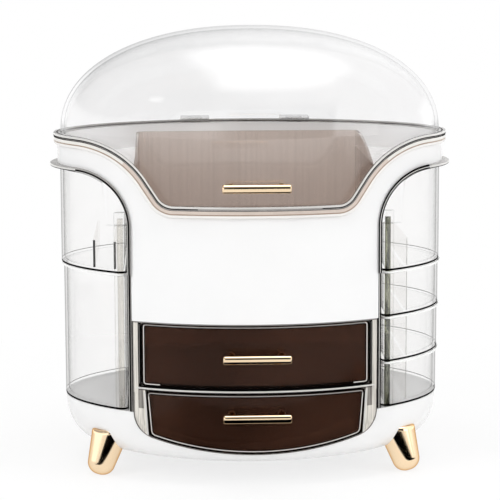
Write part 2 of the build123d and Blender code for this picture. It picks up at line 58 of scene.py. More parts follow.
def addCamera(values):
    data = bpy.data.cameras.new("camera")
    data.lens = values["lens"]
    data.sensor_width = values["sensor"]
    data.clip_end = 50
    camera = addObject("camera", data)
    place = Vector(values["place"])
    turn = (Vector(values["lookAt"]) - place).to_track_quat("-Z", "Y").to_matrix()
    roll = Euler((0, 0, math.radians(values["roll"]))).to_matrix()
    camera.rotation_euler = (turn @ roll).to_euler()
    camera.location = place
    scene.camera = camera


addCamera(cameraSet)

# stage: a pale floor, a pale world and soft lamps
floorSet = {
    "colour": (0.9, 0.9, 0.9), "roughness": 0.6, "size": 12.0,
    # the share of its own shade that shows near the object, and the distances over which it fades
    "shade": 0.22, "fade": (0.1, 0.55),
    # a black cloth that only mirrors see: its place, and the width of its soft edges
    "clothX": (-0.2, 0.45), "clothY": (-0.36, -0.118), "clothEdge": (0.03, 0.012),
}
# the brightness of the world's regions, and the parts of a unit vector between which each begins or ends
worldSet = {
    "soft": 0.42, "dimFront": 0.97, "patch": 2.2, "leftSky": 0.5, "rightSky": 1.35, "lowLeft": 1.5,
    "strip": 2.0, "front": (0.15, 0.75), "frontHeight": (0.35, 0.75), "frontSide": (-0.2, -0.02),
    "stripStart": (0.6, 0.64), "stripEnd": (0.9, 0.94), "sky": (-0.45, 0.4), "lowSide": (-0.3, -0.1),
    "lowHeight": (0.15, 0.4), "patchStart": (-0.3, -0.12), "patchEnd": (0.42, 0.6),
    "patchHeight": (0.76, 0.93),
}
lampAim = (0, 0, 0.17)
lampSet = {
    "leftBox": {"place": (-1.6, -1.1, 1.1), "size": (0.7, 1.6), "power": 16.5, "mirrored": False},
    "rightBox": {"place": (1.7, -0.9, 0.9), "size": (0.6, 1.5), "power": 14.5, "mirrored": False},
    "topBox": {"place": (0.0, -0.2, 1.9), "size": (1.5, 0.9), "power": 17.5, "mirrored": False},
    "frontBox": {"place": (0.2, -2.6, 1.1), "size": (1.4, 1.0), "power": 8.0, "mirrored": False},
    "smallBox": {"place": (-1.9, -1.3, 2.2), "size": (0.4, 0.3), "power": 0.6, "mirrored": True},
}


def mathNode(tree, operation, first, second):
    node = tree.nodes.new("ShaderNodeMath")
    node.operation = operation
    for socket, value in zip(node.inputs, (first, second)):
        if isinstance(value, (int, float)):
            socket.default_value = value
        else:
            tree.links.new(value, socket)
    return node.outputs[0]


def product(tree, *factors):
    result = factors[0]
    for factor in factors[1:]:
        result = mathNode(tree, "MULTIPLY", result, factor)
    return result


def ramp(tree, value, between, start=0.0, end=1.0):
    # value between two numbers becomes start to end, smoothly
    node = tree.nodes.new("ShaderNodeMapRange")
    node.interpolation_type = "SMOOTHSTEP"
    low, high = between
    for name, number in (("From Min", low), ("From Max", high), ("To Min", start), ("To Max", end)):
        node.inputs[name].default_value = number
    tree.links.new(value, node.inputs["Value"])
    return node.outputs[0]


def newMaterial(name):
    material = bpy.data.materials.new(name)
    material.use_nodes = True
    return material, material.node_tree, material.node_tree.nodes["Principled BSDF"]


def seenDirectly(tree):
    # 1 where a ray comes from the camera, off a mirror or through glass, and 0 elsewhere
    path = tree.nodes.new("ShaderNodeLightPath")
    first = mathNode(tree, "MAXIMUM", path.outputs["Is Camera Ray"], path.outputs["Is Glossy Ray"])
    return mathNode(tree, "MAXIMUM", first, path.outputs["Is Transmission Ray"])


def mixShaders(tree, share, first, second):
    mix = tree.nodes.new("ShaderNodeMixShader")
    for socket, output in zip(mix.inputs, (share, first, second)):
        if isinstance(output, float):
            socket.default_value = output
        else:
            tree.links.new(output, socket)
    return mix.outputs[0]


def glow(tree, strength):
    node = tree.nodes.new("ShaderNodeEmission")
    node.inputs["Strength"].default_value = strength
    return node.outputs[0]


def addFloor(values):
    mesh = bpy.data.meshes.new("floor")
    half = values["size"] / 2
    corners = [(-half, -half, 0), (half, -half, 0), (half, half, 0), (-half, half, 0)]
    mesh.from_pydata(corners, [], [(0, 1, 2, 3)])
    floor = addObject("floor", mesh)
    material, tree, shader = newMaterial("paleFloor")
    shader.inputs["Base Color"].default_value = (*values["colour"], 1)
    shader.inputs["Roughness"].default_value = values["roughness"]
    # the floor's own shade shows near the object and fades into the white around it
    place = tree.nodes.new("ShaderNodeTexCoord")
    length = tree.nodes.new("ShaderNodeVectorMath")
    length.operation = "LENGTH"
    tree.links.new(place.outputs["Object"], length.inputs[0])
    fade = tree.nodes.new("ShaderNodeMapRange")
    fade.inputs["From Min"].default_value, fade.inputs["From Max"].default_value = values["fade"]
    fade.inputs["To Min"].default_value = 1 - values["shade"]
    tree.links.new(length.outputs["Value"], fade.inputs["Value"])
    share = product(tree, seenDirectly(tree), fade.outputs[0])
    faded = mixShaders(tree, share, shader.outputs[0], glow(tree, 1.0))
    # mirrors see a black cloth on the floor in front, which gives the gold its dark streaks
    flat = tree.nodes.new("ShaderNodeSeparateXYZ")
    tree.links.new(place.outputs["Object"], flat.inputs[0])
    cloth = tree.nodes.new("ShaderNodeLightPath").outputs["Is Glossy Ray"]
    before, after = values["clothEdge"]
    for along, (start, end) in zip(flat.outputs[:2], (values["clothX"], values["clothY"])):
        cloth = product(tree, cloth, ramp(tree, along, (start - before, start)))
        cloth = product(tree, cloth, ramp(tree, along, (end, end + after), 1.0, 0.0))
    shade = mixShaders(tree, cloth, faded, glow(tree, 0.0))
    tree.links.new(shade, tree.nodes["Material Output"].inputs[0])
    mesh.materials.append(material)


def addWorld(values):
    world = bpy.data.worlds.new("paleWorld")
    scene.world = world
    world.use_nodes = True
    tree = world.node_tree
    back = tree.nodes["Background"]
    back.inputs["Color"].default_value = (1, 1, 1, 1)
    # the room seen in a mirror: dark in front at eye level but for a bright strip on the right, bright low
    # on the left, paler to the right above, with a soft white patch overhead
    way = tree.nodes.new("ShaderNodeTexCoord")
    parts = tree.nodes.new("ShaderNodeSeparateXYZ")
    tree.links.new(way.outputs["Generated"], parts.inputs[0])
    x, y, z = parts.outputs
    strip = product(tree, ramp(tree, x, values["stripStart"]), ramp(tree, x, values["stripEnd"], 1.0, 0.0))
    ahead = ramp(tree, mathNode(tree, "MULTIPLY", y, -1.0), values["front"])
    dim = product(tree, ahead, ramp(tree, z, values["frontHeight"], 1.0, 0.0), values["dimFront"],
                  ramp(tree, x, values["frontSide"]), mathNode(tree, "SUBTRACT", 1.0, strip))
    sky = ramp(tree, x, values["sky"], values["leftSky"], values["rightSky"])
    low = product(tree, ramp(tree, x, values["lowSide"], values["lowLeft"], 0.0),
                  ramp(tree, z, values["lowHeight"], 1.0, 0.0))
    lowStrip = product(tree, strip, ramp(tree, z, values["lowHeight"], values["strip"], 0.0))
    sky = mathNode(tree, "MAXIMUM", sky, mathNode(tree, "MAXIMUM", low, lowStrip))
    patch = product(tree, ramp(tree, x, values["patchStart"]), ramp(tree, x, values["patchEnd"], 1.0, 0.0),
                    ramp(tree, z, values["patchHeight"], 0.0, values["patch"]))
    mirrored = mathNode(tree, "ADD", product(tree, mathNode(tree, "SUBTRACT", 1.0, dim), sky), patch)
    path = tree.nodes.new("ShaderNodeLightPath")
    seen = mathNode(tree, "MAXIMUM", path.outputs["Is Camera Ray"], path.outputs["Is Transmission Ray"])
    soft = mathNode(tree, "SUBTRACT", 1.0, mathNode(tree, "MAXIMUM", seen, path.outputs["Is Glossy Ray"]))
    glossy = product(tree, path.outputs["Is Glossy Ray"], mathNode(tree, "SUBTRACT", 1.0, seen))
    strength = mathNode(tree, "ADD", seen, product(tree, glossy, mirrored))
    strength = mathNode(tree, "ADD", strength, product(tree, soft, values["soft"]))
    tree.links.new(strength, back.inputs["Strength"])


def addLamps(values, aim):
    for name, lamp in values.items():
        data = bpy.data.lights.new(name, "AREA")
        data.shape = "RECTANGLE"
        data.size, data.size_y = lamp["size"]
        data.energy = lamp["power"]
        item = addObject(name, data)
        item.location = lamp["place"]
        item.visible_glossy = lamp["mirrored"]
        way = Vector(aim) - Vector(lamp["place"])
        item.rotation_euler = way.to_track_quat("-Z", "Y").to_euler()


addFloor(floorSet)
addWorld(worldSet)
addLamps(lampSet, lampAim)
scene.view_settings.view_transform = "Standard"
scene.cycles.transparent_max_bounces = 40
print("stage ready")

# materials
def shadeNoise(tree, scale, detail=2.0, stretch=(1, 1, 1)):
    # noise on the object's own coordinates, stretched where streaks should run along an axis
    place = tree.nodes.new("ShaderNodeTexCoord")
    turn = tree.nodes.new("ShaderNodeMapping")
    turn.inputs["Scale"].default_value = stretch
    tree.links.new(place.outputs["Object"], turn.inputs["Vector"])
    noise = tree.nodes.new("ShaderNodeTexNoise")
    noise.inputs["Scale"].default_value = scale
    noise.inputs["Detail"].default_value = detail
    tree.links.new(turn.outputs["Vector"], noise.inputs["Vector"])
    return noise.outputs[0]


def mixColour(tree, share, first, second):
    blend = tree.nodes.new("ShaderNodeMix")
    blend.data_type = "RGBA"
    blend.inputs[6].default_value = (*first, 1)
    blend.inputs[7].default_value = (*second, 1)
    tree.links.new(share, blend.inputs[0])
    return blend.outputs[2]


def addWaves(tree, shader, scale, depth, strength, stretch=(1, 1, 1)):
    # shallow waves that a moulded or polished surface keeps
    bump = tree.nodes.new("ShaderNodeBump")
    bump.inputs["Distance"].default_value = depth
    bump.inputs["Strength"].default_value = strength
    tree.links.new(shadeNoise(tree, scale, 1.0, stretch), bump.inputs["Height"])
    tree.links.new(bump.outputs["Normal"], shader.inputs["Normal"])


def plain(name, colour, roughness, metallic=0.0, specular=0.5, vary=0.02, waveScale=16.0, waveDepth=0.0003,
          stretch=(1, 1, 1), edge=None):
    # opaque plastic or metal: slightly uneven colour and gloss, and shallow waves; edge is a metal's colour
    # along its outline
    material, tree, shader = newMaterial(name)
    uneven = ramp(tree, shadeNoise(tree, 22.0, 3.0, stretch), (0.35, 0.65))
    darker = [c * (1 - vary) for c in colour]
    lighter = [min(1.0, c * (1 + vary)) for c in colour]
    tree.links.new(mixColour(tree, uneven, darker, lighter), shader.inputs["Base Color"])
    fine = shadeNoise(tree, 140.0, 2.0, stretch)
    gloss = ramp(tree, fine, (0.3, 0.7), roughness * 0.8, roughness * 1.25)
    tree.links.new(gloss, shader.inputs["Roughness"])
    shader.inputs["Metallic"].default_value = metallic
    shader.inputs["Specular IOR Level"].default_value = specular
    if edge:
        shader.inputs["Specular Tint"].default_value = (*edge, 1)
    addWaves(tree, shader, waveScale, waveDepth, 0.12, stretch)
    return material


def clearPlastic(name, tint, edgeTint, low=0.03, high=0.75, turn=7.0, shine=0.95, roughness=0.02, streak=0.0,
                 streakHeight=4.0, dye=None, dyeShare=0.0):
    # see-through plastic: the tint shows what is behind, darker where the wall turns edge on, and the surface
    # mirrors from low, seen square on, to high, seen along it; streak adds upright bands of depth to the
    # tint, and a dye is the plastic's own colour, which scatters a share of the light
    material, tree, shader = newMaterial(name)
    shader.inputs["Base Color"].default_value = (shine, shine, shine, 1)
    shader.inputs["Metallic"].default_value = 1.0
    shader.inputs["Roughness"].default_value = roughness
    addWaves(tree, shader, 11.0, 0.0004, 0.1)
    facing = tree.nodes.new("ShaderNodeLayerWeight")
    facing.inputs["Blend"].default_value = 0.5
    share = mathNode(tree, "POWER", facing.outputs["Facing"], turn)
    bands = shadeNoise(tree, 1.0, 2.0, (340.0, 340.0, streakHeight)) if streak else shadeNoise(tree, 30.0)
    share = mathNode(tree, "ADD", share, ramp(tree, bands, (0.45, 0.62), 0.0, streak if streak else 0.006))
    share = mathNode(tree, "MINIMUM", share, 1.0)
    through = tree.nodes.new("ShaderNodeBsdfTransparent")
    tree.links.new(mixColour(tree, share, tint, edgeTint), through.inputs["Color"])
    body = through.outputs[0]
    if dye:
        scatter = tree.nodes.new("ShaderNodeBsdfDiffuse")
        patchy = ramp(tree, shadeNoise(tree, 9.0, 3.0), (0.35, 0.65))
        darker = [c * 0.6 for c in dye]
        tree.links.new(mixColour(tree, patchy, darker, dye), scatter.inputs["Color"])
        body = mixShaders(tree, dyeShare, body, scatter.outputs[0])
    turned = mathNode(tree, "POWER", facing.outputs["Facing"], 5.0)
    mirror = mathNode(tree, "ADD", product(tree, turned, high - low), low)
    whole = mixShaders(tree, mirror, body, shader.outputs[0])
    tree.links.new(whole, tree.nodes["Material Output"].inputs[0])
    return material


whiteShell = plain("whiteShell", (0.84, 0.84, 0.84), 0.16, vary=0.006)
# painted shade for the rim trim: beige and cream stand for shade on its white flange, brown for the shadow in
# the groove under it
bandBeige = plain("bandBeige", (0.62, 0.53, 0.47), 0.25, specular=0.3)
bandBrown = plain("bandBrown", (0.34, 0.26, 0.2), 0.3, specular=0.3)
bandWhite = plain("bandWhite", (0.82, 0.8, 0.78), 0.2)
bandCream = plain("bandCream", (0.76, 0.74, 0.7), 0.2)
paleGold = plain("paleGold", (0.95, 0.74, 0.5), 0.09, 1.0, vary=0.03, waveScale=60.0, waveDepth=0.00012,
                 edge=(0.62, 0.36, 0.16))
steel = plain("steel", (0.6, 0.58, 0.55), 0.3, 1.0, vary=0.05, stretch=(1, 12, 1))
# colours for thin lines: white and pale are painted highlights; mid, grey and black are painted dark
# reflections and shade on clear edges, black also the gaps round the drawers
edgeWhite = plain("edgeWhite", (0.86, 0.86, 0.85), 0.12)
edgePale = plain("edgePale", (0.6, 0.59, 0.57), 0.15)
edgeMid = plain("edgeMid", (0.3, 0.29, 0.28), 0.25, specular=0.25)
edgeGrey = plain("edgeGrey", (0.16, 0.15, 0.145), 0.25, specular=0.25)
edgeBlack = plain("edgeBlack", (0.0018, 0.0016, 0.0015), 0.45, specular=0.0)
framePale = plain("framePale", (0.62, 0.59, 0.54), 0.2, vary=0.22, stretch=(60, 60, 1))
frameMid = plain("frameMid", (0.2, 0.185, 0.17), 0.25, vary=0.4, stretch=(60, 60, 1))
clearLid = clearPlastic("clearLid", (0.985, 0.985, 0.986), (0.3, 0.3, 0.31), turn=11.0, low=0.035)
clearRim = clearPlastic("clearRim", (0.93, 0.92, 0.91), (0.3, 0.28, 0.26))
hingeClear = clearPlastic("hingeClear", (0.9, 0.9, 0.9), (0.45, 0.45, 0.45), turn=4.0)
trayClear = clearPlastic("trayClear", (0.995, 0.994, 0.993), (0.06, 0.055, 0.05), turn=9.0, high=0.4)
trayFloor = clearPlastic("trayFloor", (0.995, 0.995, 0.994), (0.98, 0.98, 0.98), high=0.2)
dividerClear = clearPlastic("dividerClear", (0.996, 0.996, 0.995), (0.93, 0.92, 0.91), low=0.015, high=0.1)
postClear = clearPlastic("postClear", (0.985, 0.984, 0.98), (0.62, 0.61, 0.58), turn=5.0, high=0.4)
pinSmoke = clearPlastic("pinSmoke", (0.6, 0.61, 0.52), (0.1, 0.1, 0.08), turn=4.0, streak=0.9,
                        streakHeight=60.0)
pinPale = clearPlastic("pinPale", (0.95, 0.94, 0.92), (0.5, 0.48, 0.45), turn=4.0, streak=0.2)
baySmoke = clearPlastic("baySmoke", (0.86, 0.83, 0.8), (0.25, 0.22, 0.19), turn=5.0, low=0.015)
darkSmoke = clearPlastic("darkSmoke", (0.8, 0.66, 0.58), (0.2, 0.12, 0.09), turn=5.0, low=0.005,
                         dye=(0.15, 0.075, 0.05), dyeShare=0.16)
taupe = clearPlastic("taupe", (0.88, 0.82, 0.78), (0.4, 0.34, 0.3), streak=0.05)

finishes = {
    "upper_shell": whiteShell, "shelf_well": whiteShell, "base_pan": whiteShell, "base_deck": whiteShell,
    "back_panel": whiteShell, "lid_dome": clearLid, "rim_trim": bandBeige, "left_liner": trayClear,
    "right_liner": trayClear, "well_insert": taupe, "drawer_bay": baySmoke, "upper_drawer": darkSmoke,
    "lower_drawer": darkSmoke,
}
for name, item in nodes.items():
    if name in finishes:
        material = finishes[name]
    elif "screws" in name or "hinge_pin" in name:
        material = steel
    elif "hinge" in name:
        material = hingeClear
    elif "tray_pin" in name:
        material = pinSmoke if "right" in name else pinPale
    elif "divider" in name:
        material = dividerClear
    elif "tray" in name:
        material = trayClear
    else:
        material = paleGold
    item.data.materials.clear()
    item.data.materials.append(material)
print("nodes finished")


# surfaces from arrays, in millimetres
def addSurface(name, points, body, replaced=(), materials=(), kinds=0, closedRows=False,
               closedColumns=False, capStart=None, capEnd=None, capColumns=None):
    # a grid of points, rows by columns, becomes quads between neighbours, joined round where it is closed.
    # kinds gives the material of all quads, of each row of quads or of each quad. A cap closes the first or
    # last row, or both end columns, with a face of the material it names.
    points = np.asarray(points, float)
    rows, columns = points.shape[:2]
    index = np.arange(rows * columns).reshape(rows, columns)
    lower, upper = (index, np.roll(index, -1, 0)) if closedRows else (index[:-1], index[1:])
    if closedColumns:
        quads = np.stack([lower, np.roll(lower, -1, 1), np.roll(upper, -1, 1), upper], -1)
    else:
        quads = np.stack([lower[:, :-1], lower[:, 1:], upper[:, 1:], upper[:, :-1]], -1)
    kinds = np.asarray(kinds)
    if kinds.ndim == 1:
        kinds = kinds[:, None]
    kinds = np.broadcast_to(kinds, quads.shape[:2]).ravel().tolist()
    faces = quads.reshape(-1, 4).tolist()
    ends = ((capStart, index[0]), (capEnd, index[-1]), (capColumns, index[:, 0]), (capColumns, index[:, -1]))
    for kind, loop in ends:
        if kind is not None:
            faces.append(loop.tolist())
            kinds.append(kind)
    mesh = bpy.data.meshes.new(name)
    mesh.from_pydata((points.reshape(-1, 3) / 1000).tolist(), [], faces)
    mesh.polygons.foreach_set("use_smooth", np.ones(len(mesh.polygons), bool))
    for material in materials:
        mesh.materials.append(material)
    mesh.polygons.foreach_set("material_index", np.asarray(kinds, np.int32))
    work = bmesh.new()
    work.from_mesh(mesh)
    bmesh.ops.remove_doubles(work, verts=work.verts, dist=2e-7)
    bmesh.ops.dissolve_degenerate(work, edges=work.edges, dist=1e-7)
    bmesh.ops.recalc_face_normals(work, faces=work.faces)
    work.to_mesh(mesh)
    work.free()
    mesh.set_sharp_from_angle(angle=math.radians(42))
    piece = addObject(name, mesh)
    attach(piece, body)
    if replaced:
        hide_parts(*replaced)


def addSolid(name, rows, body, material, replaced=()):
    # closed outlines in a row, with a face on the first and on the last
    addSurface(name, np.stack(rows), body, replaced, [material], closedColumns=True, capStart=0,
               capEnd=0)


def arc(centre, radius, start, end, count):
    # points of a circular arc in two dimensions, from start to end in degrees
    angle = np.radians(np.linspace(start, end, count))
    return np.stack([centre[0] + radius * np.cos(angle), centre[1] + radius * np.sin(angle)], -1)


shellShape = {"halfWidth": 152.4, "halfDepth": 110.0}
rimShape = {"low": 212.8, "dip": 15.7, "slope": 56.0, "centreX": 136.2, "centreZ": 197.7, "radius": 63.0}


def rimLoop(outward, up, values=rimShape, plan=shellShape, steps=(10, 14, 6, 34, 90)):
    # the rim's line as a closed loop of points, moved outward from the shell and up square to itself; in
    # front it runs flat, turns up round the dip, climbs straight, bends over the side and goes level behind
    slope = math.radians(values["slope"])
    dip, top = values["dip"] - up, values["radius"] + up
    dipZ = values["low"] + values["dip"]
    run = values["dip"] + values["radius"] - math.cos(slope) * (dipZ - values["centreZ"])
    dipX = values["centreX"] - run / math.sin(slope)
    middle = np.linspace(0, dipX, steps[0], endpoint=False)
    level = np.stack([middle, np.full(steps[0], values["low"] + up)], -1)
    turn = arc((dipX, dipZ), dip, -90, -90 + values["slope"], steps[1])
    bend = arc((values["centreX"], values["centreZ"]), top, 90 + values["slope"], 90, steps[3])
    climb = turn[-1] + (bend[0] - turn[-1]) * np.linspace(0, 1, steps[2] + 2)[1:-1, None]
    front = np.concatenate([level, turn, climb, bend])
    a, b = plan["halfWidth"] + outward, plan["halfDepth"] + outward
    y = -b * np.sqrt(1 - (front[:, 0] / a) ** 2)
    frontRight = np.stack([front[:, 0], y, front[:, 1]], -1)
    begin = -math.acos(values["centreX"] / a)
    angle = np.linspace(begin, math.pi / 2, steps[4])[1:]
    side = np.stack([a * np.cos(angle), b * np.sin(angle), np.full(len(angle), values["centreZ"] + top)], -1)
    right = np.concatenate([frontRight, side])
    left = right[1:-1][::-1] * [-1, 1, 1]
    return np.concatenate([right, left])


def roundedBox(e0, e1, d0, d1, radius, count=4):
    # a closed outline of a box with rounded corners, anticlockwise from the upper outer one
    corners = ((e1, d1, 0), (e0, d1, 90), (e0, d0, 180), (e1, d0, 270))
    runs = []
    for e, d, start in corners:
        centre = (e - radius * (1 if e == e1 else -1), d - radius * (1 if d == d1 else -1))
        runs.append(arc(centre, radius, start, start + 90, count))
    return np.concatenate(runs)


def rimBand(name, outline, body, materials, kinds=0, replaced=()):
    # a closed outline in outward and up distances, carried round the whole rim
    rows = np.stack([rimLoop(e, d) for e, d in outline])
    addSurface(name, rows, body, replaced, materials, kinds, closedRows=True, closedColumns=True)


# lid
lidShape = {"halfWidth": 149.7, "halfDepth": 107.3, "wall": 2.6, "spring": 263.0, "rise": 83.0, "power": 2.2,
            "gap": 0.3, "flange": 2.4, "reach": 3.0, "softLine": 46.0, "uprightRows": 10, "domeRows": 45}


def domeRows(inset, values):
    # rows of the dome at an inset from its outer face: upright from the rim's line to the spring height, then
    # a superellipse up to the crown; every row is the oval plan, scaled
    wall = values["halfWidth"] - inset
    outward = wall - shellShape["halfWidth"]
    depth = wall * values["halfDepth"] / values["halfWidth"] - outward
    plan = {"halfWidth": shellShape["halfWidth"], "halfDepth": depth}
    loop = rimLoop(outward, values["gap"], plan=plan)
    height = np.linspace(0, 1, values["uprightRows"])[:, None]
    upright = np.repeat(loop[None], values["uprightRows"], 0)
    upright[..., 2] = loop[None, :, 2] * (1 - height) + values["spring"] * height
    angle = np.radians(np.linspace(0, 90, values["domeRows"] + 1))[1:]
    shrink = np.cos(angle) ** (2 / values["power"])
    lift = (values["rise"] - inset) * np.sin(angle) ** (2 / values["power"])
    shrink[-1] = 0
    cap = np.repeat(loop[None], values["domeRows"], 0)
    cap[..., :2] *= shrink[:, None, None]
    cap[..., 2] = (values["spring"] + lift)[:, None]
    return np.concatenate([upright, cap])


def addLid(values):
    outer = domeRows(0, values)
    inner = domeRows(values["wall"], values)
    rows = np.concatenate([outer, inner[::-1]])
    addSurface("lidDome", rows, "lid", ["lid_dome"], [clearLid], closedRows=True,
               closedColumns=True)
    # the flange's outline, with a black line of painted shadow at its foot and a pale painted highlight band
    # over it
    low, high, reach = values["gap"], values["gap"] + values["flange"], values["reach"]
    outline = [(-2.6, low), (reach - 0.5, low), (reach - 0.2, low + 0.1), (reach - 0.02, low + 0.35),
               (reach, low + 0.8), (reach, low + 1.0), (reach, high - 0.5), (reach - 0.15, high - 0.15),
               (reach - 0.5, high), (0.9, high), (0.45, high), (-0.4, high), (-1.2, high), (-2.6, high)]
    # the painted black shadow line is mid grey at the middle of the dip
    x, y = rimLoop(0, 0)[:, :2].T
    kinds = np.repeat(np.array([0, 1, 1, 1, 2, 3, 3, 3, 0, 2, 1, 2, 0, 0])[:, None], len(x), 1)
    kinds[1:5, (np.abs(x) < values["softLine"]) & (y < 0)] = 4
    rimBand("lidFlange", outline, "lid",
            [clearRim, edgeBlack, edgeGrey, edgePale, edgeMid], kinds)


addLid(lidShape)
print("lid done")

# band under the lid's flange: a white flange painted beige as its shade, over a brown line of painted shadow
# in the groove and a white foot
trimShape = {"height": 6.0, "reach": 2.6, "beigeWidth": 98.0}


def addTrim(values):
    reach, height = values["reach"], values["height"]
    outline = [(0.02, -0.02), (reach - 0.5, -0.02), (reach - 0.1, -0.2), (reach, -0.6), (reach, -2.9),
               (reach, -3.9), (reach, -height + 0.9), (reach - 0.3, -height + 0.25), (reach - 1.0, -height),
               (0.02, -height)]
    # painted shade: beige near the dip; cream under a black line of painted shadow at the sides
    x = np.abs(rimLoop(reach, 0)[:, 0])
    kinds = np.repeat(np.array([2, 3, 3, 0, 1, 2, 2, 2, 0, 0])[:, None], len(x), 1)
    kinds[3, x > values["beigeWidth"]] = 5
    kinds[1:3, x > values["beigeWidth"]] = 4
    rimBand("rimTrim", outline, "housing",
            [bandBeige, bandBrown, bandWhite, edgeGrey, edgeBlack, bandCream], kinds, replaced=["rim_trim"])


addTrim(trimShape)
print("trim done")

# side liners: a band over each tray stack with a rounded lip
linerShape = {"innerX": 93.9, "centreX": 136.2, "centreZ": 197.7, "wall": 2.8, "halfWidth": 158.4,
              "halfDepth": 110.6, "foot": 55.3, "step": 161.3, "lowWidth": 148.4, "lowDepth": 108.78,
              "lip": 1.3, "archSteps": 40, "levelSteps": 40, "inset": 6.0}


def linerPath(drop, values):
    # the liner's line in X and Z at a drop inside its outer face: up beside the core and over the arch
    radius = values["centreX"] - values["innerX"] - drop
    inner = values["centreX"] - radius
    heights = (values["foot"], 80, 110, 140, values["step"] - 0.6, values["step"], 175, 190)
    foot = np.array([[inner, z] for z in heights])
    bend = arc((values["centreX"], values["centreZ"]), radius, 180, 90, values["archSteps"])
    return np.concatenate([foot, bend])


def linerFront(drop, inset, values):
    # the front edge of the liner's band as a line of points, at an inset from its oval outline; past the arch
    # it runs on level, to the side
    path = linerPath(drop, values)
    low = path[:, 1] < values["step"] - 0.3
    a = np.where(low, values["lowWidth"], values["halfWidth"]) - inset
    b = np.where(low, values["lowDepth"], values["halfDepth"]) - inset
    wall = np.stack([path[:, 0], -b * np.sqrt(1 - (path[:, 0] / a) ** 2), path[:, 1]], -1)
    a, b = values["halfWidth"] - inset, values["halfDepth"] - inset
    angle = np.linspace(-math.acos(values["centreX"] / a), 0, values["levelSteps"])[1:]
    level = np.stack([a * np.cos(angle), b * np.sin(angle), np.full(len(angle), path[-1, 1])], -1)
    return np.concatenate([wall, level])


def addLiner(side, word, values):
    lip = values["lip"]
    angle = np.radians(np.linspace(0, 180, 9))
    middle = values["wall"] / 2
    line = [(middle - lip * np.cos(t), lip - lip * np.sin(t)) for t in angle]
    line = [(0.02, values["inset"]), *line, (values["wall"], values["inset"])]
    front = np.stack([linerFront(drop, inset, values) for drop, inset in line])
    back = front[::-1] * [1, -1, 1]
    points = np.concatenate([front, back]) * [side, 1, 1]
    # across the lip from the shell to the tray: dark lines of painted dark reflection, then a pale painted
    # highlight; past the arch, the pale painted highlight over a black painted line
    half = [4, 4, 4, 4, 1, 1, 1, 3, 3, 0] if side < 0 else [1, 1, 1, 1, 3, 1, 1, 1, 3, 0]
    level = [4, 4, 4, 3, 3, 3, 1, 1, 1, 0]
    bent = np.arange(points.shape[1] - 1) < points.shape[1] - values["levelSteps"]
    kinds = np.where(bent, np.array(half + [0] + half[::-1] + [0])[:, None],
                     np.array(level + [0] + level[::-1] + [0])[:, None])
    addSurface(word + "Liner", points, "housing", [word + "_liner"],
               [trayClear, edgeBlack, edgeGrey, edgePale, edgeMid], kinds, closedRows=True)


for side, word in ((-1, "left"), (1, "right")):
    addLiner(side, word, linerShape)
print("liners done")

# side trays: cups on a half-oval plan with rounded corners, a lip at the top and a dark foot line; the lip's
# pale line is a painted highlight and the dark lines are painted dark reflections
trayShape = {"chordX": 97.3, "cornerX": 101.0, "cornerY": 79.7, "radius": 5.0, "wall": 2.0, "floor": 2.4,
             "lip": 1.8, "lipHeight": 1.6, "pinX": 102.3, "pinY": -72.72, "relief": 13.0, "archX": 136.2,
             "archZ": 197.7, "archRadius": 38.9, "base": 55.4, "pitch": 35.3, "gap": 0.4, "widen": 0.6,
             "halfWidth": 148.4, "tiers": 4, "boreRadius": 2.3, "postRadius": 4.75, "bossHeight": 9.5,
             "webReach": 10.3, "webFromX": 98.5, "webOver": 1.4}


def trayLoop(halfWidth, inset, values, counts=(64, 10, 96)):
    # the plan of a tray as a closed loop, at an inset: along the chord, round the front corner, the oval and
    # the rear corner; each corner's circle touches the chord and the oval
    depth = values["cornerY"] / math.sqrt(1 - (values["cornerX"] / halfWidth) ** 2)
    a, b = halfWidth - inset, depth - inset
    radius = max(values["radius"] - inset, 0.3)
    angles = np.linspace(0.3, 1.4, 4000)
    ellipse = np.stack([a * np.cos(angles), b * np.sin(angles)], -1)
    normal = np.stack([np.cos(angles) / a, np.sin(angles) / b], -1)
    normal /= np.linalg.norm(normal, axis=1)[:, None]
    centres = ellipse - radius * normal
    at = int(np.argmin(np.abs(centres[:, 0] - values["chordX"] - inset - radius)))
    touch = math.degrees(math.atan2(normal[at, 1], normal[at, 0]))
    corner = arc(centres[at], radius, 180, touch, counts[1])
    oval = np.linspace(angles[at], -angles[at], counts[2])[1:-1]
    outer = np.stack([a * np.cos(oval), b * np.sin(oval)], -1)
    chord = np.linspace(-corner[0, 1], corner[0, 1], counts[0])[1:-1]
    chord = np.stack([np.full(len(chord), corner[0, 0]), chord], -1)
    return np.concatenate([chord, corner, outer, corner[::-1] * [1, -1]])


def nearPin(plan, reach, values):
    return np.hypot(plan[:, 0] - values["pinX"], plan[:, 1] - values["pinY"]) < reach


def trayTop(plan, high, arched, values):
    # the height of a tray's rim: level, or under the arch where the tray is the top one
    if not arched:
        return np.full(len(plan), high)
    across = np.clip(values["archX"] - plan[:, 0], 0, values["archRadius"])
    top = values["archZ"] + np.sqrt(values["archRadius"] ** 2 - across ** 2)
    return np.where(nearPin(plan, values["relief"], values), values["archZ"] - 0.2, top)


